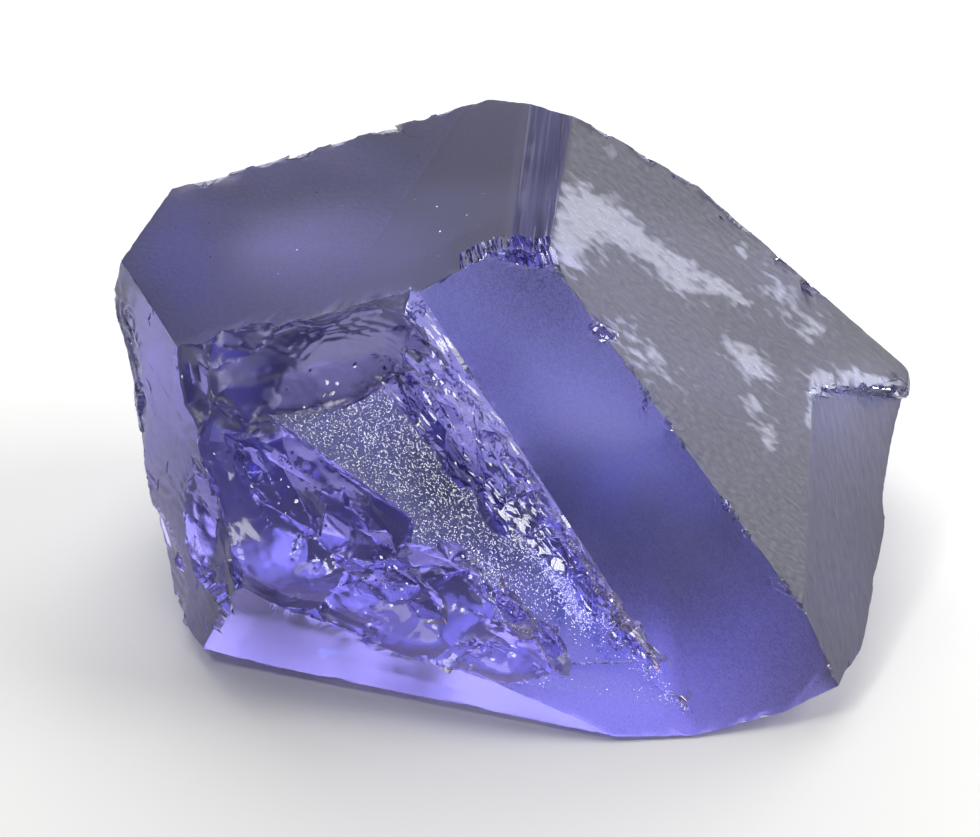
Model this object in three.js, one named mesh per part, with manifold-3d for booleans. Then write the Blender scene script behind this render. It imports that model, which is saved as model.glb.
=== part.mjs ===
// A rough tanzanite: one natural crystal fragment of violet-blue zoisite, about 19 mm long.
// Cleavage and growth have left it with broad flats that meet in sharp edges. A long step runs
// down its front face, a conchoidal hollow opens to the left of the step, and its edges are
// chipped. Lengths are millimetres and angles are degrees. Up is +Z, the front faces -Y, and
// the stone rests on the ground plane with the middle of its outline over the origin.

import * as THREE from 'three';
import { mergeVertices } from 'three/addons/utils/BufferGeometryUtils.js';
import Module from 'manifold-3d';

const wasm = await Module();
wasm.setup();

// A point inside the stone, from which every flat is measured.
const heart = new THREE.Vector3(-0.17, 0.25, 5.0);

// Far beyond the stone on every side, and how near two corners of a shape are one.
const beyond = 40;
const mergeWithin = 1e-5;

// The flats of the stone. turn is the compass side that a flat faces: 0 to the front, 90 to the
// right, 180 to the back. lift is how far it faces up, and out is its distance from the heart.
const flats = {
  crown: { turn: -24, lift: 60.5, out: 4.83 },
  crownLeft: { turn: -32, lift: 61, out: 5.0 },
  bevel: { turn: 23, lift: 57.5, out: 4.73 },
  front: { turn: 5.5, lift: 29.5, out: 3.51 },
  frontLeft: { turn: -20, lift: 28.5, out: 5.2 },
  right: { turn: 50, lift: 43, out: 4.23 },
  rightCorner: { turn: 80, lift: 5, out: 8.98 },
  rightFoot: { turn: 90.5, lift: -30, out: 8.96 },
  left: { turn: -95, lift: -13, out: 8.58 },
  leftFront: { turn: -58, lift: 6, out: 7.62 },
  leftShoulder: { turn: -116, lift: 18.5, out: 8.94 },
  leftFoot: { turn: -92.5, lift: -39, out: 9.05 },
  backTop: { turn: -165, lift: 37, out: 5.83 },
  backPeak: { turn: 164, lift: 37, out: 5.6 },
  backShoulder: { turn: 153, lift: 38, out: 5.81 },
  backSlope: { turn: 130.5, lift: 36.5, out: 6.4 },
  backRight: { turn: 122, lift: 23.5, out: 7.98 },
  back: { turn: 178, lift: -6, out: 5.86 },
  backLeft: { turn: -132, lift: -6, out: 8.26 },
  backFoot: { turn: 172, lift: -48, out: 7.2 },
  baseFront: { turn: -16.5, lift: -16, out: 6.78 },
  baseRight: { turn: 74.5, lift: -67.5, out: 7.14 },
  // The underside slopes up a little to every side of the flat spot that the stone rests on.
  lipFront: { turn: -35, lift: -86, out: 5.15 },
  lipBack: { turn: 170, lift: -80, out: 5.45 },
  lipLeft: { turn: -85, lift: -82, out: 5.5 },
  lipRight: { turn: 95, lift: -80, out: 5.5 },
  rest: { turn: 0, lift: -90, out: 5.0 },
};

// Flats inside the stone's outline, which wall its notches.
const walls = {
  stripFloor: { turn: 9, lift: 41.5, out: 2.11 },
  riser: { turn: -25, lift: 8.5, out: 3.2 },
  underCrown: { turn: 4.5, lift: 1.5, out: 1.77 },
  lowerRight: { turn: 59, lift: 35.5, out: 5.15 },
  rightLedge: { turn: 22, lift: -26, out: 2.39 },
  backStep: { turn: -170, lift: 14, out: 5.35 },
  backShelf: { turn: 176, lift: 66, out: 3.4 },
  backEnd: { turn: -112, lift: 8, out: 0.8 },
  stripEdge: { turn: -44, lift: -34.5, out: 4.0 },
};
const faces = { ...flats, ...walls };

// Notches: the stone is missing wherever a place lies outside all of a notch's walls at once.
const notches = {
  // The long step, from its frosted strip to the broken riser, closed at the top by a short wall.
  step: ['stripFloor', 'riser', 'underCrown'],
  // The lower right flat, set in a little below a short ledge.
  lowerRight: ['lowerRight', 'rightLedge'],
  // A cleavage ledge across the back.
  backLedge: ['backStep', 'backShelf', 'backEnd'],
};

// Conchoidal breaks: shell-shaped bowls with rings around the point that was struck. across and
// up place a bowl's middle on its face, wide, tall and deep are its reaches, twist turns it
// there, and struck is where on its rim the blow fell, anticlockwise from the right.
// The bowls of the hollow, which the strip's edge cuts off on their right:
const hollowBowls = [
  { on: 'front', across: -5.0, up: -2.0, wide: 2.7, tall: 2.3, deep: 2.2, twist: -38, struck: 75 },
  { on: 'front', across: -3.1, up: -4.1, wide: 2.3, tall: 1.3, deep: 1.5, twist: -18, struck: 120 },
  { on: 'front', across: -6.3, up: -0.4, wide: 1.3, tall: 1.6, deep: 1.7, twist: 10, struck: 60 },
  { on: 'front', across: -1.3, up: -5.3, wide: 1.7, tall: 0.7, deep: 0.7, twist: -22, struck: 150 },
];
// The single shells on the rest of the stone:
const shells = [
  { on: 'underCrown', across: -4.6, up: 2.1, wide: 2.5, tall: 1.3, deep: 0.6, twist: 18, struck: 75 },
  { on: 'frontLeft', across: -4.6, up: 0.2, wide: 1.3, tall: 1.0, deep: 0.9, twist: 20, struck: 80 },
  { on: 'leftFront', across: -1.2, up: 1.5, wide: 1.1, tall: 1.3, deep: 0.6, twist: 30, struck: 90 },
  { on: 'leftFront', across: -4.6, up: -0.6, wide: 0.8, tall: 2.0, deep: 0.35, twist: 12, struck: 70 },
  { on: 'leftFront', across: -0.6, up: -2.6, wide: 1.0, tall: 1.9, deep: 0.45, twist: 22, struck: 80 },
  { on: 'leftFront', across: -2.8, up: -4.4, wide: 1.3, tall: 1.4, deep: 0.35, twist: 40, struck: 20 },
  { on: 'back', across: 3.4, up: -3.4, wide: 3.6, tall: 3.0, deep: 0.9, twist: 12, struck: -80 },
  { on: 'back', across: -5.8, up: -1.2, wide: 2.4, tall: 1.6, deep: 0.5, twist: -24, struck: 60 },
  { on: 'backTop', across: 4.9, up: -1.4, wide: 2.6, tall: 1.6, deep: 0.4, twist: 30, struck: 60 },
  { on: 'backSlope', across: -2.4, up: -5.8, wide: 1.9, tall: 2.4, deep: 0.4, twist: -30, struck: 90 },
  { on: 'rightFoot', across: 1.2, up: 2.4, wide: 2.6, tall: 1.5, deep: 0.4, twist: 14, struck: 100 },
  { on: 'lipRight', across: 3.6, up: 3.6, wide: 2.4, tall: 2.0, deep: 0.4, twist: 25, struck: 0 },
];
// Rings to a bowl's reach, and how far the rings and the lumps swell it, as shares of that reach.
const rings = 2.5;
const ringRise = 0.03;
const lumpRise = 0.07;
const smallLumps = 0.6;
// Facets round a bowl: a few for the smallest, and more for each millimetre of reach.
const fewestSides = 12;
const sidesPerReach = 5;
const ringsPerSide = 0.6;

// Rows of chips along an edge. Each follows a path of places given across, up and below a face,
// with the mean reach of a chip at either end.
const chipRows = {
  groove: { on: 'front', path: [[-2.6, 0.8, 1.2], [3.2, -6.7, 0.1]], size: [0.75, 0.38], count: 24 },
  grooveWall: { on: 'front', path: [[-2.5, 1.9, 0.6], [2.0, -5.5, 0.15]], size: [0.5, 0.36], count: 16 },
  hollowShards: { on: 'front', path: [[-6.3, -1.2, 2.0], [-2.6, -4.2, 1.5]], size: [1.0, 0.7], count: 7 },
  hollowRim: { on: 'front', path: [[-6.5, -4.1, 0.5], [-0.1, -5.9, 0.2]], size: [0.5, 0.35], count: 10 },
  stripRim: { on: 'front', path: [[-2.0, -3.1, 0.8], [0.6, -5.7, 0.3]], size: [0.4, 0.3], count: 8 },
  frontRim: { on: 'front', path: [[0.7, 3.3, 0], [6.3, -5.3, 0]], size: [0.26, 0.18], count: 12 },
  bevelFoot: { on: 'front', path: [[-0.7, 3.5, 0], [0.7, 3.3, 0]], size: [0.26, 0.34], count: 5 },
  flank: { on: 'leftFront', path: [[-2.1, 1.9, 0], [1.0, -2.4, 0]], size: [0.45, 0.5], count: 8 },
  flankFoot: { on: 'leftFront', path: [[-5.6, 1.5, 0], [-2.6, -4.7, 0]], size: [0.3, 0.45], count: 7 },
  cornerFoot: { on: 'leftFront', path: [[-2.6, -4.7, 0], [-0.7, -5.6, 0]], size: [0.4, 0.5], count: 3 },
  rightLedge: { on: 'right', path: [[4.3, -3.6, 0], [7.0, -4.8, 0]], size: [0.2, 0.3], count: 7 },
  rightEdge: { on: 'right', path: [[2.7, 4.3, 0], [4.6, 1.9, 0], [6.2, -2, 0]], size: [0.3, 0.4], count: 9 },
  foot: { on: 'baseFront', path: [[-6.0, -3.1, 0], [4.4, -3.6, 0]], size: [0.25, 0.35], count: 8 },
  summit: { on: 'backTop', path: [[0.4, 3.7, 0], [7.1, 1.1, 0]], size: [0.26, 0.34], count: 8 },
  backPeak: { on: 'backPeak', path: [[1.1, 4.0, 0], [2.1, -2.1, 0]], size: [0.26, 0.34], count: 5 },
  backFoot: { on: 'back', path: [[-7.7, -3.6, 0], [5.7, -4.4, 0]], size: [0.5, 0.6], count: 9 },
  backFlank: { on: 'backLeft', path: [[-0.7, 0.8, 0], [-0.5, -4.0, 0]], size: [0.4, 0.5], count: 5 },
};
// The spread of the chips: of their reach about the mean, of their three measures in shares of
// that reach, of how far they turn in radians, and of how far they stray and stand proud.
const reachSpread = [0.65, 1.3];
const longSpread = [1.3, 2.4];
const wideSpread = [0.6, 0.9];
const thickSpread = [0.5, 0.8];
const turnSpread = [-0.5, 0.5];
const straySpread = [-0.3, 0.3];
const proudSpread = [0, 0.4];

// Repeatable random numbers from 0 to 1 (a mulberry32 sequence).
function randomFrom(seed) {
  let state = seed;
  return () => {
    state = (state + 0x6d2b79f5) | 0;
    let mix = Math.imul(state ^ (state >>> 15), 1 | state);
    mix = (mix + Math.imul(mix ^ (mix >>> 7), 61 | mix)) ^ mix;
    return ((mix ^ (mix >>> 14)) >>> 0) / 2 ** 32;
  };
}

// The frame of a flat: X runs across it to the right, Y up its slope, and Z out of the stone.
function frameOf({ turn, lift, out }) {
  const side = THREE.MathUtils.degToRad(turn);
  const slope = THREE.MathUtils.degToRad(lift);
  const across = new THREE.Vector3(Math.cos(side), Math.sin(side), 0);
  const outward = new THREE.Vector3(
    Math.sin(side) * Math.cos(slope),
    -Math.cos(side) * Math.cos(slope),
    Math.sin(slope),
  );
  const up = new THREE.Vector3().crossVectors(outward, across);
  const foot = heart.clone().addScaledVector(outward, out);
  return new THREE.Matrix4().makeBasis(across, up, outward).setPosition(foot);
}

// A three.js geometry as a solid that can be cut and joined.
function solidOf(geometry) {
  geometry.deleteAttribute('normal');
  geometry.deleteAttribute('uv');
  const merged = mergeVertices(geometry, mergeWithin);
  return new wasm.Manifold(new wasm.Mesh({
    numProp: 3,
    vertProperties: new Float32Array(merged.attributes.position.array),
    triVerts: new Uint32Array(merged.index.array),
  }));
}

// Everything that lies outside a flat.
function outside(flat) {
  const slab = new THREE.BoxGeometry(2 * beyond, 2 * beyond, beyond);
  slab.translate(0, 0, beyond / 2);
  return solidOf(slab.applyMatrix4(frameOf(flat)));
}

// The stone as its flats alone leave it.
function blockOfFlats() {
  const block = solidOf(new THREE.BoxGeometry(beyond, beyond, beyond));
  return Object.values(flats).reduce((stone, flat) => stone.subtract(outside(flat)), block);
}

// What a notch takes away: all that lies outside every one of its walls.
function notchOf(names) {
  return names.map((name) => outside(faces[name])).reduce((cut, wall) => cut.intersect(wall));
}

// A conchoidal bowl: a squashed ball, uneven and ringed about the point on its rim that was struck.
function bowl({ on, across, up, wide, tall, deep, twist, struck }) {
  const sides = Math.round(fewestSides + sidesPerReach * wide);
  const ball = new THREE.SphereGeometry(1, sides, Math.round(ringsPerSide * sides));
  ball.rotateX(Math.PI / 2);
  const blow = THREE.MathUtils.degToRad(struck);
  const rim = new THREE.Vector3(Math.cos(blow), Math.sin(blow), 0);
  const places = ball.attributes.position;
  const place = new THREE.Vector3();
  for (let i = 0; i < places.count; i += 1) {
    place.fromBufferAttribute(places, i);
    const ring = ringRise * Math.cos(2 * Math.PI * rings * place.distanceTo(rim));
    const swell = Math.sin(3 * place.x + across) * Math.sin(4 * place.y + up);
    const ripple = smallLumps * Math.sin(7 * place.x - up) * Math.cos(6 * place.y + across);
    place.multiplyScalar(1 + ring + lumpRise * (swell + ripple));
    places.setXYZ(i, place.x, place.y, place.z);
  }
  ball.scale(wide, tall, deep);
  ball.rotateZ(THREE.MathUtils.degToRad(twist));
  ball.translate(across, up, 0);
  return solidOf(ball.applyMatrix4(frameOf(faces[on])));
}

// The place some way along a path, from 0 at its start to 1 at its end.
function placeAlong(path, along) {
  const stretch = along * (path.length - 1);
  const start = Math.min(Math.floor(stretch), path.length - 2);
  const next = path[start + 1];
  return path[start].map((from, axis) => THREE.MathUtils.lerp(from, next[axis], stretch - start));
}

// Angular chips along an edge: splinters that lie roughly along the row, each turned a little.
function chips({ on, path, size, count }, row) {
  const random = randomFrom(row + 1);
  const between = ([low, high]) => THREE.MathUtils.lerp(low, high, random());
  const [start, end] = [path[0], path[path.length - 1]];
  const lie = Math.atan2(end[1] - start[1], end[0] - start[0]);
  const cuts = [];
  for (let i = 0; i < count; i += 1) {
    const along = (i + random()) / count;
    const reach = THREE.MathUtils.lerp(size[0], size[1], along) * between(reachSpread);
    const [across, up, below] = placeAlong(path, along);
    const chip = new THREE.IcosahedronGeometry(reach, 0);
    chip.scale(between(longSpread), between(wideSpread), between(thickSpread));
    chip.rotateX(between(turnSpread));
    chip.rotateY(between(turnSpread));
    chip.rotateZ(lie + between(turnSpread));
    chip.translate(
      across + reach * between(straySpread),
      up + reach * between(straySpread),
      reach * between(proudSpread) - below,
    );
    cuts.push(solidOf(chip.applyMatrix4(frameOf(faces[on]))));
  }
  return cuts;
}

function stone() {
  let shape = blockOfFlats();
  for (const names of Object.values(notches)) {
    shape = shape.subtract(notchOf(names));
  }
  const hollow = wasm.Manifold.union(hollowBowls.map(bowl));
  shape = shape.subtract(hollow.intersect(outside(faces.stripEdge)));
  const breaks = [...shells.map(bowl), ...Object.values(chipRows).flatMap(chips)];
  return shape.subtract(wasm.Manifold.union(breaks));
}

// The solid as a three.js geometry.
function geometryOf(solid) {
  const { vertProperties, triVerts } = solid.getMesh();
  const geometry = new THREE.BufferGeometry();
  geometry.setAttribute('position', new THREE.BufferAttribute(vertProperties, 3));
  geometry.setIndex(new THREE.BufferAttribute(triVerts, 1));
  return geometry;
}

const violetCrystal = new THREE.MeshStandardMaterial({
  color: 0x6b67b0,
  roughness: 0.35,
  metalness: 0,
});

const tanzanite = new THREE.Mesh(geometryOf(stone()), violetCrystal);
tanzanite.name = 'tanzanite';

const part = new THREE.Group();
part.add(tanzanite);

export default part;
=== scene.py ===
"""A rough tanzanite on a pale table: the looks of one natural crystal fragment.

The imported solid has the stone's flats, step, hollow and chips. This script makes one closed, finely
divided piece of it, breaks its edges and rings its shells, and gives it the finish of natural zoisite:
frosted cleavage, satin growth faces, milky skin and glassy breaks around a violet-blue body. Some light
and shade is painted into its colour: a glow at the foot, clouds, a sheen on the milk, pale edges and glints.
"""

import math

import bmesh
import bpy
import numpy as np
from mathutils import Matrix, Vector, noise


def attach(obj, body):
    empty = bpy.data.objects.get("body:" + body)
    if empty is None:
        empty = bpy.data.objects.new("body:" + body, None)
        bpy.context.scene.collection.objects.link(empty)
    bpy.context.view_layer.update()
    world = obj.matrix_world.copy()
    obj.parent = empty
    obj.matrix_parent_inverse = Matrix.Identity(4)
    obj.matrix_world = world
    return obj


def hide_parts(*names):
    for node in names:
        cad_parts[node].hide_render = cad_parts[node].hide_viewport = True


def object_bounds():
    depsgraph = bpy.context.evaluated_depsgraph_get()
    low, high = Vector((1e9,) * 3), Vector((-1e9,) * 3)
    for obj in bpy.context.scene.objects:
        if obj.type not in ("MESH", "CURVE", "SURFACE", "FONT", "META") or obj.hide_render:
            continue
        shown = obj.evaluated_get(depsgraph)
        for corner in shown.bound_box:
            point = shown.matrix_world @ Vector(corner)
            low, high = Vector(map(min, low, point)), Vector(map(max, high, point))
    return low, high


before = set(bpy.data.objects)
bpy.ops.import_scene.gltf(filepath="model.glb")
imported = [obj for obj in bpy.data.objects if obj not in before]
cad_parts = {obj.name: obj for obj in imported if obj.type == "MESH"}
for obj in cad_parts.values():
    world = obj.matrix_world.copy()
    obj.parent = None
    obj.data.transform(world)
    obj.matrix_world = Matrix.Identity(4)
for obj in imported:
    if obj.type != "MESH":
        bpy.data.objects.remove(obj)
CAD_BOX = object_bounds()

MM = 0.001
NODE = "tanzanite"

# The point inside the stone from which its flats are measured, in millimetres.
HEART = np.array((-0.17, 0.25, 5.0))

# The stone's flats: the side each faces, how far it faces up, and its distance from the heart.
FLATS = {
    "crown": (-24, 60.5, 4.83),
    "crown_left": (-32, 61, 5.0),
    "bevel": (23, 57.5, 4.73),
    "front": (5.5, 29.5, 3.51),
    "front_left": (-20, 28.5, 5.2),
    "right": (50, 43, 4.23),
    "right_corner": (80, 5, 8.98),
    "right_foot": (90.5, -30, 8.96),
    "left": (-95, -13, 8.58),
    "left_front": (-58, 6, 7.62),
    "left_shoulder": (-116, 18.5, 8.94),
    "left_foot": (-92.5, -39, 9.05),
    "back_top": (-165, 37, 5.83),
    "back_peak": (164, 37, 5.6),
    "back_shoulder": (153, 38, 5.81),
    "back_slope": (130.5, 36.5, 6.4),
    "back_right": (122, 23.5, 7.98),
    "back": (178, -6, 5.86),
    "back_left": (-132, -6, 8.26),
    "back_foot": (172, -48, 7.2),
    "base_front": (-16.5, -16, 6.78),
    "base_right": (74.5, -67.5, 7.14),
    "lip_front": (-35, -86, 5.15),
    "lip_back": (170, -80, 5.45),
    "lip_left": (-85, -82, 5.5),
    "lip_right": (95, -80, 5.5),
    "rest": (0, -90, 5.0),
    "strip_floor": (9, 41.5, 2.11),
    "riser": (-25, 8.5, 3.2),
    "under_crown": (4.5, 1.5, 1.77),
    "lower_right": (59, 35.5, 5.15),
    "right_ledge": (22, -26, 2.39),
    "back_step": (-170, 14, 5.35),
    "back_shelf": (176, 66, 3.4),
    "back_end": (-112, 8, 0.8),
    "strip_edge": (-44, -34.5, 4.0),
}
ON_FLAT_MM = 0.003
ON_FLAT_COSINE = 0.9999

# The conchoidal bowls: the flat, across and up, the three reaches, the twist, the struck side and
# the finish of each.
BOWLS = (
    ("front", -5.0, -2.0, 2.7, 2.3, 2.2, -38, 75, "glassy"),
    ("front", -3.1, -4.1, 2.3, 1.3, 1.5, -18, 120, "glassy"),
    ("front", -6.3, -0.4, 1.3, 1.6, 1.7, 10, 60, "glassy"),
    ("front", -1.3, -5.3, 1.7, 0.7, 0.7, -22, 150, "glassy"),
    ("under_crown", -4.6, 2.1, 2.5, 1.3, 0.6, 18, 75, "ashen"),
    ("front_left", -4.6, 0.2, 1.3, 1.0, 0.9, 20, 80, "ashen"),
    ("left_front", -1.2, 1.5, 1.1, 1.3, 0.6, 30, 90, "ashen"),
    ("left_front", -4.6, -0.6, 0.8, 2.0, 0.35, 12, 70, "chalky"),
    ("left_front", -0.6, -2.6, 1.0, 1.9, 0.45, 22, 80, "chalky"),
    ("left_front", -2.8, -4.4, 1.3, 1.4, 0.35, 40, 20, "glassy"),
    ("back", 3.4, -3.4, 3.6, 3.0, 0.9, 12, -80, "shelly"),
    ("back", -5.8, -1.2, 2.4, 1.6, 0.5, -24, 60, "shelly"),
    ("back_top", 4.9, -1.4, 2.6, 1.6, 0.4, 30, 60, "shelly"),
    ("back_slope", -2.4, -5.8, 1.9, 2.4, 0.4, -30, 90, "shelly"),
    ("right_foot", 1.2, 2.4, 2.6, 1.5, 0.4, 14, 100, "shelly"),
    ("lip_right", 3.6, 3.6, 2.4, 2.0, 0.4, 25, 0, "shelly"),
)
RIPPLE_MM = {"ashen": 0.03, "glassy": 0.012, "chalky": 0.015, "shelly": 0.02}
RIPPLE_SPACING_MM = 0.24
# The rings fade out at about this distance from the blow.
RIPPLE_REACH_MM = {"ashen": 0.9, "glassy": 2.5, "chalky": 2.0, "shelly": 3.0}
# How much of the splintering each kind of bowl is spared.
CALM = {"ashen": 0.9, "glassy": 0.7, "chalky": 0.93, "shelly": 0.96}

# The step's groove, from end to end, as across and up on the front flat, and its reach. It fades
# out over the outer part of that reach.
GROOVE = np.array(((-2.2, 0.5), (3.3, -6.8)))
GROOVE_REACH_MM = 1.5
GROOVE_FADE = 2.4

# Rings that a blow left in a smooth shell: the flat, across and up, the radii they lie between,
# their spacing and their rise.
RINGS = (
    ("under_crown", -3.75, 1.1, 1.45, 2.15, 0.19, 0.03),
    ("under_crown", -5.9, 1.6, 0.8, 1.25, 0.22, 0.02),
    ("left_front", -1.4, 0.4, 1.2, 2.0, 0.26, 0.02),
)
# How far under its flat a ring still shows, and how much of each circle is left out.
RING_DEEP_MM = 0.8
RING_GAP = 0.55

# The heights between which tints are painted lighter towards the foot, and the tint that they are painted
# towards: a painted glow of the light that comes up through the stone's foot.
PAINTED_GLOW_FROM_MM = (0.5, 4.5)
FOOT_PAINTED_GLOW = "#fff0ff"

# What each finish does to light: its tint, how far its tint is painted lighter towards the stone's foot as a
# painted glow, its roughness, the height of its grain, how thick it is with glints and how streaky it is.
FINISHES = {
    "frosted": ("#7a7886", 0.1, 0.44, 0.5, 0.052, 0.08),
    "hazy": ("#94929e", 0.1, 0.46, 0.5, 0.051, 0.15),
    "striated": ("#b0aeba", 0.1, 0.34, 0.3, 0.06, 1.0),
    "satin": ("#b0b4d8", 0.8, 0.38, 0.8, 0.0, 0.12),
    "sparkling": ("#eaf6ff", 0.9, 0.46, 1.0, 0.36, 0.2),
    "milky": ("#6e7072", 0.0, 0.46, 0.6, 0.0, 0.4),
    "dusty": ("#bababa", 0.0, 0.46, 0.6, 0.0, 0.3),
    "smooth": ("#fff6ff", 1.0, 0.16, 0.05, 0.0, 0.0),
    "worn": ("#8d89b4", 0.3, 0.36, 0.3, 0.0, 0.2),
    "clear": ("#f4f0ff", 0.5, 0.16, 0.1, 0.0, 0.0),
    "glassy": ("#c4bcec", 1.0, 0.14, 0.1, 0.055, 0.1),
    "shelly": ("#c4bcf4", 0.5, 0.12, 0.1, 0.0, 0.1),
    "ashen": ("#8e8a90", 0.3, 0.26, 0.1, 0.052, 0.2),
    "chalky": ("#8e84b6", 0.7, 0.24, 0.3, 0.055, 0.15),
    "splintered": ("#dcd8ff", 0.7, 0.05, 0.1, 0.12, 0.3),
    "hackled": ("#8a84e8", 0.0, 0.08, 0.1, 0.15, 1.6),
    "chipped": ("#8884a8", 0.9, 0.25, 0.4, 0.12, 0.5),
}
# The place of the glints in a finish's looks, and how thinly they may lie before they are left out.
GLINTS = 2
GLINT_FLOOR = 0.05
# The finish of each flat. The others are worn.
FINISH_OF = {
    "crown": "frosted",
    "crown_left": "hazy",
    "bevel": "striated",
    "front": "satin",
    "front_left": "satin",
    "strip_floor": "sparkling",
    "right": "milky",
    "lower_right": "dusty",
    "right_corner": "milky",
    "left_front": "chalky",
    "base_front": "smooth",
    "base_right": "clear",
    "back": "clear",
    "back_left": "clear",
    "back_foot": "clear",
    "left_foot": "clear",
    "right_foot": "clear",
    "lip_front": "clear",
    "lip_back": "clear",
    "lip_left": "clear",
    "lip_right": "clear",
    "rest": "clear",
    "riser": "splintered",
    "under_crown": "ashen",
    "right_ledge": "chipped",
    "strip_edge": "glassy",
}

# The lie of each finish's grain: the flat that it runs along, its twist there, and the length and
# width of one grain in millimetres.
GRAIN = {
    "frosted": ("crown", 25, 0.04, 0.035),
    "hazy": ("crown_left", 18, 0.05, 0.035),
    "striated": ("bevel", 64, 1.0, 0.05),
    "satin": ("front", -58, 0.045, 0.035),
    "sparkling": ("strip_floor", -62, 0.035, 0.028),
    "milky": ("right", -62, 0.16, 0.07),
    "dusty": ("lower_right", 60, 0.25, 0.06),
    "chalky": ("left_front", 84, 0.4, 0.07),
    "splintered": ("front", -56, 0.4, 0.05),
    "hackled": ("front", 100, 0.3, 0.045),
    "chipped": ("front", -54, 0.1, 0.06),
}
EVEN_GRAIN = ("right", 20, 0.1, 0.09)
# The strip of hackles under the bevel, as across and up on the front flat, its two reaches, and how
# deep it goes.
HACKLES = (-0.19, 3.3, 1.1, 0.5)
HACKLES_DEEP_MM = 0.8

# Flats that the fine mesh breaks up as it does the breaks, and how strongly.
RUGGED = {
    "left_front": 0.12,
    "riser": 1.3,
    "under_crown": 0.15,
    "right_ledge": 0.5,
    "strip_edge": 0.6,
    "back_end": 1.0,
}
# Splinters, as their sizes along the groove, across it and outward, and the relief of each kind.
# The fine ones grow taller down the groove.
LONG_SPLINTER = (1.4, 0.45, 0.5)
LONG_SPLINTER_MM = 0.26
FINE_SPLINTER = (0.8, 0.16, 0.25)
FINE_SPLINTER_MM = 0.03
FINE_GROWTH_MM = 0.1
SHARD = (1.0, 0.55, 0.55)
SHARD_MM = 0.22
# The relief of the unevenness on every break, of the nicks in the sharp edges and of their wear.
UNEVEN_MM = 0.01
NICK_MM = 0.1
WEAR_MM = 0.012
# Flats with patches or clouds, which need a mesh that can carry them.
PATCHED = ("right", "front", "base_front", "crown", "crown_left", "strip_floor", "lower_right")

# Patches: the flat, across and up, half the length and half the width, the twist and the strength
# of each. First the milky skin, partly a painted sheen, then the cream chips, then the lighter and darker
# clouds, which are partly painted light and shade.
MILK_AND_PAINTED_SHEEN = (
    ("right", 0.9, 2.7, 0.7, 0.75, -67, 1.0),
    ("right", 1.9, 1.9, 0.85, 0.36, -61, 1.0),
    ("right", 2.6, 0.4, 0.7, 0.4, -62, 0.9),
    ("right", 3.65, -0.55, 0.75, 0.18, -57, 0.9),
    ("right", 5.05, -1.45, 0.7, 0.38, -70, 0.6),
    ("right", 5.35, -2.45, 0.5, 0.22, -12, 0.6),
    ("right", 3.05, -2.15, 0.7, 0.3, -60, 1.0),
    ("right", 0.45, -0.65, 1.0, 0.45, -67, 0.55),
    ("right", 2.45, -3.0, 0.28, 0.26, -90, 0.8),
    ("right", 2.35, -3.75, 0.3, 0.28, -90, 0.8),
    ("right", 4.6, -3.6, 0.4, 0.32, -30, 1.1),
    ("right", 5.55, -4.0, 0.45, 0.28, -28, 1.2),
    ("right", 6.3, -4.55, 0.45, 0.3, -27, 1.1),
    ("right", 3.75, -4.05, 0.5, 0.18, 38, 0.6),
    ("right", 4.7, 0.1, 0.2, 0.12, -80, 0.9),
    ("right", 0.0, 2.15, 0.4, 0.26, 85, 0.7),
    ("base_front", -2.65, -1.9, 0.36, 0.2, 17, 0.75),
    ("base_front", -1.05, -2.05, 0.25, 0.18, 17, 0.7),
)
CREAM = (
    ("front", -5.62, 0.35, 0.26, 0.18, -47, 1.0),
    ("right", 2.8, 3.6, 0.24, 0.14, -66, 1.0),
)
# The clouds are partly the stone's own colour zoning and partly painted light and shade: lighter where light
# comes through the stone, darker where less of it does.
CLOUDS_AND_PAINTED_LIGHT = (
    ("front", 0.2, 2.9, 1.6, 1.2, 0, -0.55),
    ("front", 0.6, 0.9, 1.6, 1.2, -50, -0.3),
    ("front", 4.6, -5.0, 1.8, 1.3, -42, -0.3),
    ("front", 1.9, -1.0, 2.4, 0.9, -50, 0.8),
    ("front", 3.2, -3.2, 1.6, 0.8, -50, 0.25),
    ("strip_floor", -1.2, -4.4, 1.6, 1.0, -50, 0.3),
    ("base_front", -4.3, -1.3, 2.6, 1.8, 6, -0.85),
    ("right", 4.0, -4.5, 3.0, 1.5, -30, 0.2),
    ("crown_left", -5.5, 1.2, 2.6, 0.5, 12, 0.2),
    ("crown_left", -4.3, 2.1, 2.6, 0.45, -2, 0.6),
    ("crown_left", -4.5, -0.6, 2.4, 0.2, 16, 0.15),
    ("crown_left", -6.2, -0.2, 1.8, 0.18, 14, 0.15),
    ("crown_left", -5.6, 1.2, 0.45, 0.3, 0, 0.3),
    ("crown_left", -6.8, -1.2, 1.4, 1.1, 0, 0.6),
    ("under_crown", -6.6, 2.0, 1.0, 0.8, 0, 1.0),
    ("left_front", -2.0, -4.1, 1.6, 1.4, 0, 0.8),
)
# Clouds on the broken riser of the groove, partly painted shade in its dark pits, and bright flakes that are
# painted highlights.
RIFT_CLOUDS_AND_PAINTED_SHADE = (
    ("riser", 0.6, 0.9, 1.1, 0.35, -35, 0.6),
    ("riser", -1.1, 0.3, 1.1, 0.45, -50, -0.5),
    ("riser", 0.0, -0.8, 0.8, 0.4, -45, -0.75),
    ("riser", 1.5, -1.9, 0.8, 0.3, -50, -0.5),
)
RIFT_PAINTED_HIGHLIGHTS = (
    ("riser", 2.95, -2.8, 0.55, 0.12, -68, 1.3),
    ("riser", 2.3, -1.9, 0.5, 0.1, -55, 0.9),
    ("riser", 1.6, -1.2, 0.4, 0.12, -50, 1.0),
    ("riser", 1.0, -0.5, 0.4, 0.08, -48, 0.8),
    ("riser", 3.8, -3.4, 0.9, 0.05, -45, 0.8),
    ("riser", 4.0, -3.7, 0.9, 0.04, -45, 0.7),
)
# Parts of the groove that split off smooth, as patches.
PLATES = (
    ("riser", 0.6, 0.9, 1.1, 0.3, -35, 1.0),
)
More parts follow.
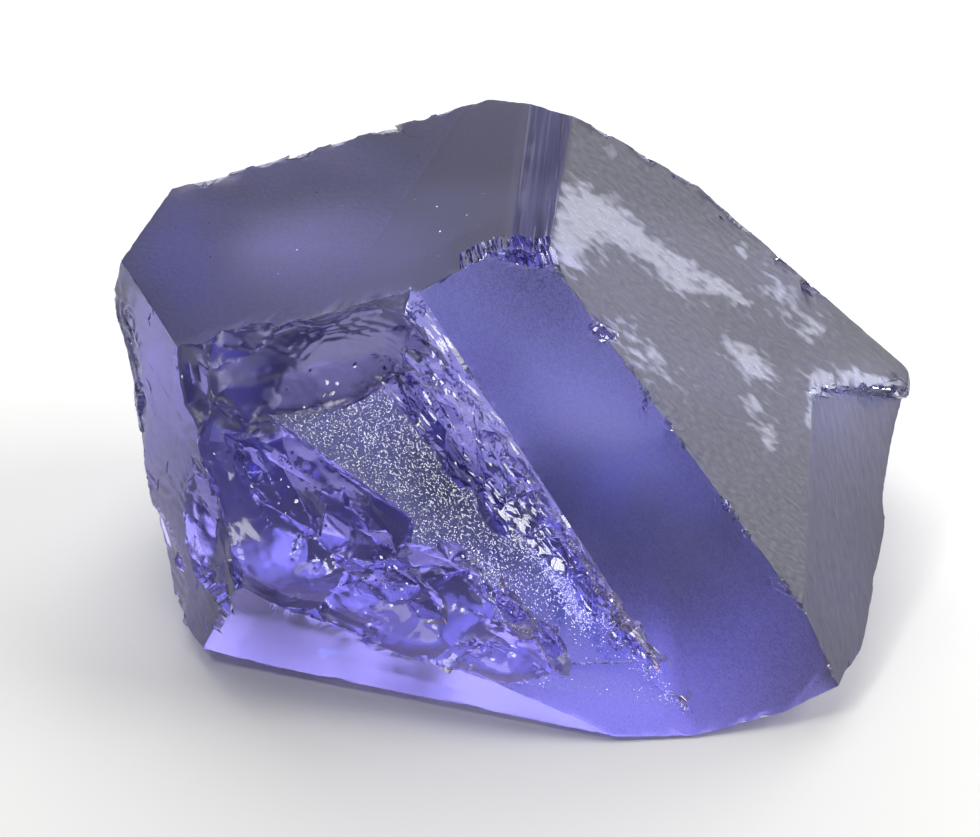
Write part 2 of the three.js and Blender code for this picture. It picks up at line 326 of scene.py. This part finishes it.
# Where glints lie thicker, and where thinner.
GLITTER = (
    ("strip_floor", -3.8, -0.5, 0.9, 0.6, -39, 0.1),
    ("strip_floor", -1.3, -4.4, 0.7, 0.3, -65, 0.35),
    ("front", -5.3, -2.2, 0.9, 0.35, -50, 0.2),
    ("front", -0.15, -2.7, 0.8, 0.24, -58, 0.9),
    ("front", 0.85, -4.3, 0.6, 0.16, -62, 2.0),
    ("front", 2.3, -5.8, 1.2, 0.12, -50, 1.0),
    ("strip_floor", 0.9, -6.7, 2.0, 1.4, -50, -0.3),
    ("front", -1.7, 1.3, 1.0, 0.2, -58, 0.25),
)
# How far from its flat each kind of patch reaches, and how quickly every patch fades.
SKIN_DEEP_MM = 0.5
PLATE_DEEP_MM = 0.8
RIFT_DEEP_MM = 1.2
CREAM_DEEP_MM = 3
GLITTER_DEEP_MM = 4
PATCH_FADE = 0.7
# The slow drift of the tint through the stone: its strength, and its turns in a millimetre.
DRIFT = 0.25
DRIFT_PER_MM = 0.45

# The longest edges of the fine mesh: on breaks in front and behind, on flats with patches and on
# the other flats.
FINE_MM = 0.11
BACK_MM = 0.3
PATCHED_MM = 0.32
FLAT_MM = 0.6
# Chips are filled by these depths, in front and behind. Breaks that lie deeper than the third are
# left alone, and the filling fades before that depth.
CHIP_FILL_MM = 0.13
BACK_FILL_MM = 0.4
DEEP_CHIP_MM = 0.5
DEEP_FADE_MM = 0.2
BEHIND_FROM_MM = 1
UNDER_FROM_MM = 2.2
# Edges with a sharper turn than this are kept sharp.
SHARP = math.radians(24)
ROUNDS = 8
# The side that is most often seen.
TOWARDS_EYE = np.array((0, -0.819, 0.574))


def linear(hex_colour):
    """An sRGB hex colour as linear RGBA."""
    parts = [int(hex_colour[i:i + 2], 16) / 255 for i in (1, 3, 5)]
    return [p / 12.92 if p <= 0.04045 else ((p + 0.055) / 1.055) ** 2.4 for p in parts] + [1]


def axes_of(name):
    """Across, up and outward of a flat, as three unit rows."""
    side, slope = (math.radians(angle) for angle in FLATS[name][:2])
    across = np.array((math.cos(side), math.sin(side), 0))
    level = math.cos(slope)
    outward = np.array((math.sin(side) * level, -math.cos(side) * level, math.sin(slope)))
    return np.array((across, np.cross(outward, across), outward))


def local(points, name):
    """Points in millimetres as across, up and out on a flat."""
    return (points - HEART) @ axes_of(name).T - np.array((0, 0, FLATS[name][2]))


# --- the fine mesh ---

def merged_arrays(node):
    """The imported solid's corners, in millimetres, and its triangles, with its doubles merged."""
    bm = bmesh.new()
    bm.from_mesh(node.data)
    bmesh.ops.remove_doubles(bm, verts=bm.verts, dist=1e-8)
    corners = np.array([v.co for v in bm.verts]) / MM
    triangles = np.array([[v.index for v in f.verts] for f in bm.faces])
    bm.free()
    return corners, triangles


def normals_of(corners, triangles):
    """The unit normals of the triangles."""
    a, b, c = (corners[triangles[:, i]] for i in range(3))
    cross = np.cross(b - a, c - a)
    return cross / np.maximum(np.linalg.norm(cross, axis=1, keepdims=True), 1e-12)


def flats_of(corners, triangles):
    """For each triangle, the number of the flat that it lies on, or -1 on a break."""
    centres = corners[triangles].mean(axis=1)
    normals = normals_of(corners, triangles)
    found = np.full(len(triangles), -1)
    for number, name in enumerate(FLATS):
        off = np.abs(local(centres, name)[:, 2])
        facing = normals @ axes_of(name)[2]
        found[(off < ON_FLAT_MM) & (facing > ON_FLAT_COSINE)] = number
    return found


def edges_of(triangles):
    """Each edge's two corners, the edges of each triangle, and the two triangles on each edge."""
    pairs = np.stack((triangles, np.roll(triangles, -1, axis=1)), axis=2).reshape(-1, 2)
    edges, number = np.unique(np.sort(pairs, axis=1), axis=0, return_inverse=True)
    sides = (np.argsort(number.ravel(), kind="stable") // 3).reshape(-1, 2)
    return edges, number.reshape(-1, 3), sides


def turned(rows, first):
    """Each row of three, turned to begin at its own place."""
    return rows[np.arange(len(rows))[:, None], (first[:, None] + np.arange(3)) % 3]


def divide(corners, triangles, labels, edges, number, marked):
    """Splits each marked edge in the middle, and the triangles beside it to suit."""
    middle = np.full(len(edges), -1)
    middle[marked] = len(corners) + np.arange(marked.sum())
    corners = np.vstack((corners, corners[edges[marked]].mean(axis=1)))
    split = marked[number]
    count = split.sum(axis=1)
    one, two, three = (np.flatnonzero(count == n) for n in (1, 2, 3))

    first = split[one].argmax(axis=1)
    (a, b, c), m = turned(triangles[one], first).T, turned(middle[number[one]], first)[:, 0]
    halves = [(a, m, c), (m, b, c)]

    first = (~split[two]).argmax(axis=1) + 1
    (d, e, f), (n, o, _) = turned(triangles[two], first).T, turned(middle[number[two]], first).T
    short = np.linalg.norm(corners[d] - corners[o], axis=1) < np.linalg.norm(corners[n] - corners[f], axis=1)
    thirds = [(n, e, o), (d, n, np.where(short, o, f)), (np.where(short, d, n), o, f)]

    (g, h, i), (p, q, r) = triangles[three].T, middle[number[three]].T
    quarters = [(g, p, r), (h, q, p), (i, r, q), (p, q, r)]

    parts = [triangles[count == 0]] + [np.column_stack(t) for t in halves + thirds + quarters]
    names = [labels[count == 0]] + [labels[one]] * 2 + [labels[two]] * 3 + [labels[three]] * 4
    return corners, np.vstack(parts), np.concatenate(names)


def filled(corners, triangles, labels):
    """Fills the shallow rims of the chips up to the flats that they were struck from."""
    outer = list(FLATS)[:list(FLATS).index("rest") + 1]
    normals = np.array([axes_of(name)[2] for name in outer])
    out = np.array([local(corners, name)[:, 2] for name in outer])
    nearest, depth = out.argmax(axis=0), -out.max(axis=0)
    share = np.clip((DEEP_CHIP_MM - depth) / DEEP_FADE_MM, 0, 1)
    across, up, wide, tall = HACKLES
    place = local(corners, "front")
    share[((place[:, 0] - across) / wide) ** 2 + ((place[:, 1] - up) / tall) ** 2 < 1] = 0
    for bowl, _, finish in on_bowls(corners):
        if finish != "chalky":
            share *= 1 - bowl
    share[triangles[labels >= 0].ravel()] = 0
    behind = (corners[:, 1] > BEHIND_FROM_MM) | (corners[:, 2] < UNDER_FROM_MM)
    fill = np.minimum(depth, np.where(behind, BACK_FILL_MM, CHIP_FILL_MM) * share)
    flush = (depth - fill)[triangles].max(axis=1) < ON_FLAT_MM
    labels = np.where((labels < 0) & flush, nearest[triangles[:, 0]], labels)
    return corners + fill[:, None] * normals[nearest], labels


def sharp_edges(corners, triangles, sides):
    """Which edges turn more sharply than the limit."""
    normals = normals_of(corners, triangles)[sides]
    return (normals[:, 0] * normals[:, 1]).sum(axis=1) < math.cos(SHARP)


def fine_mesh(node):
    """Corners, triangles and the flat of each triangle, divided until the edges are short."""
    corners, triangles = merged_arrays(node)
    labels = flats_of(corners, triangles)
    names = list(FLATS)
    rugged = [-1] + [names.index(name) for name in RUGGED]
    patched = [names.index(name) for name in PATCHED]
    for _ in range(ROUNDS):
        edges, number, sides = edges_of(triangles)
        seen = normals_of(corners, triangles) @ TOWARDS_EYE > 0
        fine = np.where(seen, FINE_MM, BACK_MM)
        limit = np.where(np.isin(labels, patched), PATCHED_MM, FLAT_MM)
        limit = np.where(np.isin(labels, rugged), fine, limit)
        sharp = sharp_edges(corners, triangles, sides)
        allowed = np.where(sharp, fine[sides].min(axis=1), limit[sides].min(axis=1))
        length = np.linalg.norm(corners[edges[:, 0]] - corners[edges[:, 1]], axis=1)
        marked = length > allowed
        if not marked.any():
            break
        corners, triangles, labels = divide(corners, triangles, labels, edges, number, marked)
    return corners, triangles, labels


def smoothed(corners, edges, free, rounds, pull):
    """Draws each free corner towards the middle of its neighbours."""
    degree = np.bincount(edges.ravel(), minlength=len(corners))[:, None]
    for _ in range(rounds):
        total = np.zeros_like(corners)
        np.add.at(total, edges[:, 0], corners[edges[:, 1]])
        np.add.at(total, edges[:, 1], corners[edges[:, 0]])
        step = (total / degree - corners) * pull
        corners = corners + np.where(free[:, None], step, 0)
    return corners


def corner_normals(corners, triangles):
    """The unit normal at each corner, as the mean of its triangles' normals by their area."""
    a, b, c = (corners[triangles[:, i]] for i in range(3))
    cross = np.cross(b - a, c - a)
    total = np.zeros_like(corners)
    for i in range(3):
        np.add.at(total, triangles[:, i], cross)
    return total / np.maximum(np.linalg.norm(total, axis=1, keepdims=True), 1e-12)


def on_bowls(points):
    """How surely points lie on each conchoidal bowl, and how far they are from its struck point."""
    for name, across, up, wide, tall, deep, twist, struck, finish in BOWLS:
        place = local(points, name) - np.array((across, up, 0))
        turn, blow = math.radians(twist), math.radians(struck)
        x = place[:, 0] * math.cos(turn) + place[:, 1] * math.sin(turn)
        y = place[:, 1] * math.cos(turn) - place[:, 0] * math.sin(turn)
        reach = np.sqrt((x / wide) ** 2 + (y / tall) ** 2 + (place[:, 2] / deep) ** 2)
        blow_x, blow_y = wide * math.cos(blow), tall * math.sin(blow)
        away = np.sqrt((x - blow_x) ** 2 + (y - blow_y) ** 2 + place[:, 2] ** 2)
        yield np.clip(1.8 - 9 * np.abs(reach - 1), 0, 1), away, finish


def shards(point, sizes):
    """A field of flat faces that meet in ridges, with sizes in millimetres along three axes."""
    place = Vector([p / size for p, size in zip(point, sizes)])
    _, cells = noise.voronoi(place)
    centre = Vector((0.5, 0.5, 0.5))
    return max((noise.cell_vector(cell * 7.31) - centre).dot(place - cell) for cell in cells)


def groove_axes():
    """Along the groove, across it and out of the front flat."""
    across, up, out = axes_of("front")
    run = (GROOVE[1] - GROOVE[0]) / np.linalg.norm(GROOVE[1] - GROOVE[0])
    along = run[0] * across + run[1] * up
    return np.array((along, np.cross(out, along), out))


def near_groove(points):
    """1 in the step's groove, falling to 0 at its reach."""
    place = local(points, "front")[:, :2]
    run = GROOVE[1] - GROOVE[0]
    along = np.clip((place - GROOVE[0]) @ run / (run @ run), 0, 1)
    away = np.linalg.norm(place - GROOVE[0] - along[:, None] * run, axis=1)
    return np.clip(GROOVE_FADE - GROOVE_FADE * away / GROOVE_REACH_MM, 0, 1)


def weathered(corners, triangles, labels):
    """Smooths the shells, then rings and splinters the breaks and nicks the sharp edges."""
    edges, _, sides = edges_of(triangles)
    on_edge = np.zeros(len(corners), bool)
    on_edge[edges[sharp_edges(corners, triangles, sides)].ravel()] = True
    rugged = [-1] + [list(FLATS).index(name) for name in RUGGED]
    on_flat = np.zeros(len(corners), bool)
    on_flat[triangles[~np.isin(labels, rugged)].ravel()] = True
    corners = smoothed(corners, edges, ~on_edge & ~on_flat, rounds=8, pull=0.6)
    normals = corner_normals(corners, triangles)
    rise = np.zeros(len(corners))
    calm = np.zeros(len(corners))
    wild = np.ones(len(corners))
    for name, strength in RUGGED.items():
        wild[triangles[labels == list(FLATS).index(name)].ravel()] = strength
    wild *= 1 - np.clip(patches_at(corners, PLATES, PLATE_DEEP_MM), 0, 1)
    for share, away, finish in on_bowls(corners):
        wave = np.cos(2 * math.pi * away / RIPPLE_SPACING_MM + 1.5 * np.sin(2 * away))
        rise += RIPPLE_MM[finish] * share * wave * np.exp(-(away / RIPPLE_REACH_MM[finish]) ** 2)
        calm = np.maximum(calm, share * CALM[finish])
    for name, across, up, inner, outer, spacing, height in RINGS:
        place = local(corners, name) - np.array((across, up, 0))
        away = np.linalg.norm(place, axis=1)
        share = np.clip(1 - np.abs(2 * away - inner - outer) / (outer - inner), 0, 1)
        near = (np.abs(place[:, 2]) < RING_DEEP_MM) & (place[:, 1] > RING_GAP * away)
        ripple = np.abs(np.cos(math.pi * away / spacing + np.sin(3 * place[:, 0])))
        rise += height * np.where(near, np.sqrt(share), 0) * ripple
    groove = near_groove(corners)
    lie = (corners - HEART) @ groove_axes().T
    for i in np.flatnonzero(~on_flat):
        point = Vector(corners[i])
        down = min(1, max(0, (lie[i, 0] + 1) / 5))
        rise[i] += LONG_SPLINTER_MM * wild[i] * groove[i] * shards(lie[i], LONG_SPLINTER)
        tall = FINE_SPLINTER_MM + FINE_GROWTH_MM * down
        rise[i] += tall * wild[i] * groove[i] * shards(lie[i], FINE_SPLINTER)
        patchy = min(1, max(0, 0.6 + 2 * noise.noise(point * 0.9)))
        loose = wild[i] * (1 - groove[i]) * (1 - calm[i]) * patchy
        rise[i] += SHARD_MM * loose * shards(lie[i], SHARD)
        rise[i] += UNEVEN_MM * noise.noise(point * 4)
    rise[on_flat] = 0
    for i in np.flatnonzero(on_edge):
        point = Vector(corners[i])
        nick = max(0, noise.noise(point * 2.6) - 0.15)
        rise[i] -= NICK_MM * nick + WEAR_MM * (1 + noise.noise(point * 9))
    low, high = (np.array(corner) / MM for corner in CAD_BOX)
    return np.clip(corners + normals * rise[:, None], low, high), on_edge


def patches_at(points, patches, deep=SKIN_DEEP_MM):
    """The sum of the soft patches at each point that lies within a depth of the patch's flat."""
    total = np.zeros(len(points))
    for name, across, up, long, wide, twist, strength in patches:
        turn = math.radians(twist)
        place = local(points, name)
        x, y = place[:, 0] - across, place[:, 1] - up
        along = (x * math.cos(turn) + y * math.sin(turn)) / long
        beside = (y * math.cos(turn) - x * math.sin(turn)) / wide
        fade = np.exp(-PATCH_FADE * (along ** 2 + beside ** 2))
        soft = np.where(np.abs(place[:, 2]) < deep, fade, 0)
        total += strength * soft
    return total


def finish_of_faces(corners, triangles, labels):
    """The name of each triangle's finish: its flat's, its bowl's, the groove's or a chip's."""
    centres = corners[triangles].mean(axis=1)
    names = np.array([FINISH_OF.get(name, "worn") for name in FLATS] + ["chipped"], dtype=object)[labels]
    broken = labels == -1
    names[broken & (near_groove(centres) > 0.3)] = "splintered"
    for share, _, finish in on_bowls(centres):
        names[broken & (share > 0.4)] = finish
    across, up, wide, tall = HACKLES
    place = local(centres, "front")
    in_strip = ((place[:, 0] - across) / wide) ** 2 + ((place[:, 1] - up) / tall) ** 2 < 1
    names[in_strip & (place[:, 2] < -ON_FLAT_MM) & (place[:, 2] > -HACKLES_DEEP_MM)] = "hackled"
    return names


def lie_of_grain(corners, triangles, finishes):
    """For each corner of each triangle, its place counted in grains of the triangle's finish."""
    lie = np.zeros((len(triangles), 3, 3))
    for finish in FINISHES:
        flat, twist, long, wide = GRAIN.get(finish, EVEN_GRAIN)
        across, up, out = axes_of(flat)
        turn = math.radians(twist)
        run = across * math.cos(turn) + up * math.sin(turn)
        frame_rows = np.array((run / long, np.cross(out, run) / wide, out / math.sqrt(long * wide)))
        chosen = finishes == finish
        lie[chosen] = (corners[triangles[chosen]] - HEART) @ frame_rows.T
    return lie


def tints_of_corners(corners, triangles, finishes):
    """The tint at each corner of each triangle. It is painted lighter towards the stone's foot, a painted
    glow of the light that comes up through the foot.
    """
    tints = np.array([linear(FINISHES[finish][0]) for finish in finishes])[:, None, :]
    painted_glow_shares = np.array([FINISHES[finish][1] for finish in finishes])[:, None]
    low, high = PAINTED_GLOW_FROM_MM
    share = np.clip((high - corners[triangles][:, :, 2]) / (high - low), 0, 1) * painted_glow_shares
    return tints + (linear(FOOT_PAINTED_GLOW) - tints) * share[:, :, None]


def write(mesh, name, kind, domain, values):
    """Writes an attribute of the mesh."""
    attribute = mesh.attributes.new(name, kind, domain)
    field = {"FLOAT": "value", "FLOAT_VECTOR": "vector", "FLOAT_COLOR": "color"}[kind]
    attribute.data.foreach_set(field, np.ascontiguousarray(values, np.float32).ravel())


def crystal(node):
    """The stone as one closed piece with the finish of each of its faces."""
    corners, triangles, labels = fine_mesh(node)
    corners, labels = filled(corners, triangles, labels)
    finishes = finish_of_faces(corners, triangles, labels)
    lie = lie_of_grain(corners, triangles, finishes)
    corners, on_edge = weathered(corners, triangles, labels)
    mesh = bpy.data.meshes.new("tanzanite_crystal")
    mesh.from_pydata((corners * MM).tolist(), [], triangles.tolist())
    write(mesh, "lie", "FLOAT_VECTOR", "CORNER", lie)
    write(mesh, "tint", "FLOAT_COLOR", "CORNER", tints_of_corners(corners, triangles, finishes))
    glitter = patches_at(corners[triangles].mean(axis=1), GLITTER, GLITTER_DEEP_MM)
    looks = np.array([FINISHES[finish][2:] for finish in finishes])
    seen = normals_of(corners, triangles) @ TOWARDS_EYE > 0
    glints = looks[:, GLINTS] + glitter - GLINT_FLOOR
    looks[:, GLINTS] = np.where(seen, np.maximum(glints, 0), 0)
    write(mesh, "looks", "FLOAT_COLOR", "FACE", looks)
    drift = [DRIFT * noise.noise(Vector(corner) * DRIFT_PER_MM) for corner in corners]
    # The clouds are partly colour zoning and partly painted light and shade.
    cloud_and_painted_light = patches_at(corners, CLOUDS_AND_PAINTED_LIGHT) + patches_at(corners, RIFT_CLOUDS_AND_PAINTED_SHADE, RIFT_DEEP_MM) + drift
    # The milk is partly a painted sheen, and the riser's flakes added to it are painted highlights.
    milk_and_painted_sheen = patches_at(corners, MILK_AND_PAINTED_SHEEN) + patches_at(corners, RIFT_PAINTED_HIGHLIGHTS, RIFT_DEEP_MM)
    patches = (milk_and_painted_sheen, patches_at(corners, CREAM, CREAM_DEEP_MM), on_edge, cloud_and_painted_light)
    write(mesh, "patches", "FLOAT_COLOR", "POINT", np.column_stack(patches))
    mesh.shade_smooth()
    mesh.set_sharp_from_angle(angle=SHARP)
    piece = bpy.data.objects.new("tanzanite_crystal", mesh)
    bpy.context.scene.collection.objects.link(piece)
    return piece


# --- the finish ---

def add(tree, kind, inputs=None, **settings):
    """Adds a node with its settings. An input is a value or a node, or a node's socket."""
    node = tree.nodes.new(kind)
    for name, value in settings.items():
        setattr(node, name, value)
    for name, value in (inputs or {}).items():
        if isinstance(value, bpy.types.Node):
            value = value.outputs[0]
        if isinstance(value, bpy.types.NodeSocket):
            tree.links.new(value, node.inputs[name])
        else:
            node.inputs[name].default_value = value
    return node


# The way that glinting facets face, and how far each strays from it.
GLINT_SPREAD = (2.0, 2.0, 2.0)
GLINT_AIM = (-7.75, -19.0, 22.0)


def zoisite():
    """Violet-blue zoisite. Its body soaks up red and green light; its cleavage flats are etched to
    a frost that throws back a grey veil, and its fresh breaks are as clear as glass."""
    material = bpy.data.materials.new("natural_zoisite_frosted_and_broken")
    material.use_nodes = True
    tree = material.node_tree
    tree.nodes.clear()

    def math_of(operation, *numbers):
        return add(tree, "ShaderNodeMath", dict(enumerate(numbers)), operation=operation)

    def mixed(amount, one, other, blend="MIX"):
        inputs = {0: amount, 6: one, 7: other}
        return add(tree, "ShaderNodeMix", inputs, data_type="RGBA", blend_type=blend).outputs[2]

    def ramp(number, low, high, to_low=0.0, to_high=1.0):
        limits = {"Value": number, "From Min": low, "From Max": high, "To Min": to_low, "To Max": to_high}
        return add(tree, "ShaderNodeMapRange", limits)

    tint = add(tree, "ShaderNodeAttribute", attribute_name="tint")
    lie = add(tree, "ShaderNodeAttribute", attribute_name="lie").outputs["Vector"]
    looks = add(tree, "ShaderNodeAttribute", attribute_name="looks")
    evenly, coarse, glinting = add(tree, "ShaderNodeSeparateColor", {0: looks.outputs["Color"]}).outputs
    patches = add(tree, "ShaderNodeAttribute", attribute_name="patches")
    milky, creamy, edge = add(tree, "ShaderNodeSeparateColor", {0: patches.outputs["Color"]}).outputs
    fibre = add(tree, "ShaderNodeTexNoise", {"Vector": lie, "Scale": 0.4, "Detail": 1.0})
    grit = add(tree, "ShaderNodeTexNoise", {"Vector": lie, "Scale": 1.0, "Detail": 0.0})
    streaks = math_of("MULTIPLY", ramp(fibre, 0.3, 0.7, -1.0, 1.0), looks.outputs["Alpha"])
    grain = math_of("MULTIPLY", ramp(grit, 0.2, 0.8, -1.0, 1.0), coarse)

    # Colour: clouds (partly painted light and shade), milk (partly a painted sheen) and a cream chip lie on
    # the tint, and the edges are painted pale, partly as wear and partly as a painted edge highlight.
    drift = math_of("MULTIPLY_ADD", streaks, 0.35, patches.outputs["Alpha"])
    bright = math_of("ADD", math_of("MULTIPLY_ADD", grain, 0.25, drift), 1.0)
    cloud_inputs_with_painted_light = {0: tint.outputs["Color"], 3: bright}
    clouded_and_painted_light = add(tree, "ShaderNodeVectorMath", cloud_inputs_with_painted_light, operation="SCALE").outputs[0]
    ragged = ramp(fibre, 0.3, 0.7, -0.3, 0.3)
    # Painted sheen: the milk is painted pale blue-white, partly as the sheen of semi-polished spots.
    milk_and_painted_sheen = ramp(math_of("ADD", milky, ragged), 0.32, 0.75)
    skin_and_painted_sheen = mixed(milk_and_painted_sheen, clouded_and_painted_light, linear("#aebed4"))
    cream = ramp(math_of("ADD", creamy, ragged), 0.45, 0.6)
    chalk = mixed(cream, skin_and_painted_sheen, linear("#fff6d8"))
    # The pale edges are partly wear and partly a painted edge highlight.
    wear_and_painted_edge_highlight = ramp(math_of("ADD", edge, ragged), 0.6, 1.0, 0.0, 0.4)

    # Glints: tiny etched facets that face the same way, along the crystal's cleavage. Their colour is
    # painted near white as well: a painted highlight.
    grains = add(tree, "ShaderNodeVectorMath", {0: lie}, operation="FLOOR")
    inside = add(tree, "ShaderNodeVectorMath", {0: lie}, operation="FRACTION")
    level = add(tree, "ShaderNodeVectorMath", {0: inside, 1: (1, 1, 0)}, operation="MULTIPLY")
    off = add(tree, "ShaderNodeVectorMath", {0: level, 1: (0.5, 0.5, 0)}, operation="DISTANCE")
    chance = add(tree, "ShaderNodeTexWhiteNoise", {"Vector": grains})
    chosen = math_of("LESS_THAN", chance.outputs["Value"], glinting)
    glint = math_of("MULTIPLY", chosen, math_of("LESS_THAN", off.outputs["Value"], 0.48))
    straying = {0: chance.outputs["Color"], 1: GLINT_SPREAD}
    own_way = add(tree, "ShaderNodeVectorMath", straying, operation="MULTIPLY")
    aimed = add(tree, "ShaderNodeVectorMath", {0: own_way, 1: GLINT_AIM}, operation="ADD")
    push = add(tree, "ShaderNodeVectorMath", {0: aimed, 3: glint}, operation="SCALE")
    geometry = add(tree, "ShaderNodeNewGeometry").outputs["Normal"]
    tilted = add(tree, "ShaderNodeVectorMath", {0: geometry, 1: push}, operation="ADD")
    facet = add(tree, "ShaderNodeVectorMath", {0: tilted}, operation="NORMALIZE")
    worn = mixed(wear_and_painted_edge_highlight, chalk, linear("#c8c6e4"))
    # Painted highlight: the glints are painted near white.
    colour = mixed(math_of("MULTIPLY", glint, 0.6), worn, linear("#f4f8ff"))

    # Roughness: frost is uneven, milk is duller and a glint is smooth.
    uneven = math_of("MULTIPLY_ADD", grain, 0.1, evenly)
    duller = math_of("MULTIPLY_ADD", milk_and_painted_sheen, -0.15, uneven)
    rough = math_of("MAXIMUM", math_of("MULTIPLY_ADD", glint, -0.4, duller), 0.04)

    # Relief: the fibres of the streaky finishes.
    fibres = {"Height": streaks, "Strength": 0.5, "Distance": 0.012 * MM, "Normal": facet}
    bump = add(tree, "ShaderNodeBump", fibres)
    surface = add(tree, "ShaderNodeBsdfPrincipled", {
        "Base Color": colour, "Roughness": rough, "IOR": 1.69, "Transmission Weight": 0.9, "Normal": bump,
        "Coat Weight": math_of("MULTIPLY", milk_and_painted_sheen, 0.6), "Coat Roughness": 0.25,
    })
    depth = add(tree, "ShaderNodeVolumeAbsorption", {"Color": linear("#a8a6ee"), "Density": 200.0})
    add(tree, "ShaderNodeOutputMaterial", {"Surface": surface, "Volume": depth})
    return material


# --- the table, the light and the camera ---

def plain(name, colour, roughness):
    """A plain opaque material."""
    material = bpy.data.materials.new(name)
    material.use_nodes = True
    shader = material.node_tree.nodes["Principled BSDF"]
    shader.inputs["Base Color"].default_value = linear(colour)
    shader.inputs["Roughness"].default_value = roughness
    return material


def table():
    """A wide card, a hair under the stone. It stays white and matt, so that light comes up through
    the stone's foot."""
    half, level = 2.0, -0.03 * MM
    mesh = bpy.data.meshes.new("table")
    rim = [(x * half, y * half, level) for x, y in ((-1, -1), (1, -1), (1, 1), (-1, 1))]
    mesh.from_pydata(rim, [], [(0, 1, 2, 3)])
    mesh.materials.append(plain("matt_white_card", "#f4f4f2", 0.8))
    piece = bpy.data.objects.new("table", mesh)
    bpy.context.scene.collection.objects.link(piece)


# The point that the camera and the lights look at, how far the camera stands from it, and the
# camera's tilt. The picture is shifted by some pixels of its width.
TARGET_MM = (-0.17, -1.25, 5.3)
EYE_AWAY_MM = 75
EYE_TILT = math.radians(35)
LENS_MM = 120
SENSOR_MM = 36
PICTURE_WIDTH = 980
SHIFT_PIXELS = (-22, 1.5)


def softbox(name, towards, away_mm, size_mm, radiance):
    """A square light that faces the stone from a direction, with a brightness of its surface."""
    light = bpy.data.lights.new(name, "AREA")
    light.size = size_mm * MM
    light.energy = radiance * math.pi * light.size ** 2
    lamp = bpy.data.objects.new(name, light)
    direction = Vector(towards).normalized()
    lamp.location = (Vector(TARGET_MM) + direction * away_mm) * MM
    lamp.rotation_euler = direction.to_track_quat("Z", "Y").to_euler()
    bpy.context.scene.collection.objects.link(lamp)


def studio():
    """A dim even sky, a window on the right, a bright backdrop, and two lights above."""
    world = bpy.data.worlds.new("studio")
    world.use_nodes = True
    world.node_tree.nodes["Background"].inputs["Color"].default_value = linear("#ffffff")
    world.node_tree.nodes["Background"].inputs["Strength"].default_value = 0.13
    bpy.context.scene.world = world
    softbox("window", (0.85, 0.04, 0.5), 130, 76, 5.3)
    softbox("backdrop", (0.05, 0.87, 0.46), 130, 170, 2.7)
    softbox("overhead", (-0.1, 0.05, 0.99), 130, 70, 2.2)
    softbox("lamp", (-0.42, -0.3, 0.86), 120, 26, 11)


def camera():
    """A long lens that looks down at the front."""
    lens = bpy.data.cameras.new("camera")
    lens.lens = LENS_MM
    lens.sensor_width = SENSOR_MM
    lens.shift_x, lens.shift_y = (shift / PICTURE_WIDTH for shift in SHIFT_PIXELS)
    lens.clip_start = 0.001
    eye = bpy.data.objects.new("camera", lens)
    back = Vector((0, -math.cos(EYE_TILT), math.sin(EYE_TILT)))
    eye.location = (Vector(TARGET_MM) + back * EYE_AWAY_MM) * MM
    eye.rotation_euler = back.to_track_quat("Z", "Y").to_euler()
    bpy.context.scene.collection.objects.link(eye)
    bpy.context.scene.camera = eye


camera()
table()
studio()
stone = crystal(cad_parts[NODE])
stone.data.materials.append(zoisite())
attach(stone, "root")
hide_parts(NODE)
bpy.context.scene.view_settings.view_transform = "Standard"
